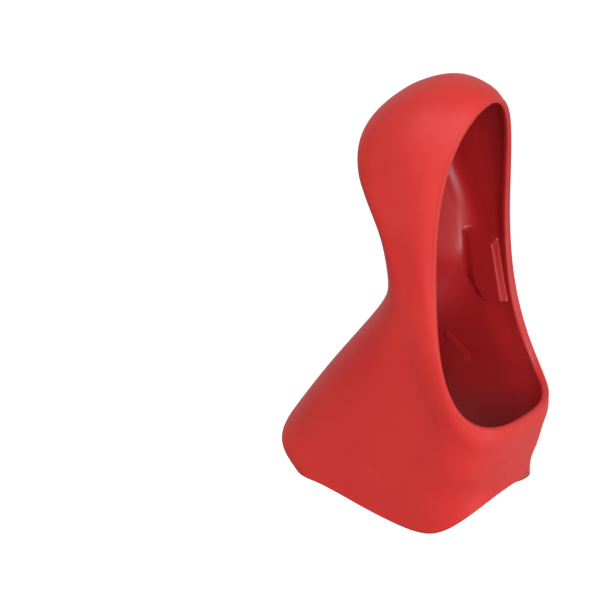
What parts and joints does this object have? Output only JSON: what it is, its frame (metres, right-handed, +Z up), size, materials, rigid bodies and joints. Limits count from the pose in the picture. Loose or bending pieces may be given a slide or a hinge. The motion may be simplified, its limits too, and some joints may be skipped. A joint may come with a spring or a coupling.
{
  "type": "brake lever hood",
  "caption": "Soft moulded cover for a drop-bar brake lever body, with a closed horn, a long opening for the lever and an open tail that meets the handlebar.",
  "frame": {"origin": "centre of the bounding box's bottom face, on the table that the hood lies on", "axes": "+Y along the hood from the tail to the horn, +X from its back toward the lever opening, +Z up through the side wall that is uppermost as it lies"},
  "size_m": [0.0746, 0.118, 0.0355],
  "materials": {
    "rubber": "matte"
  },
  "bodies": {
    "root": {"hood": "rubber"}
  },
  "joints": []
}
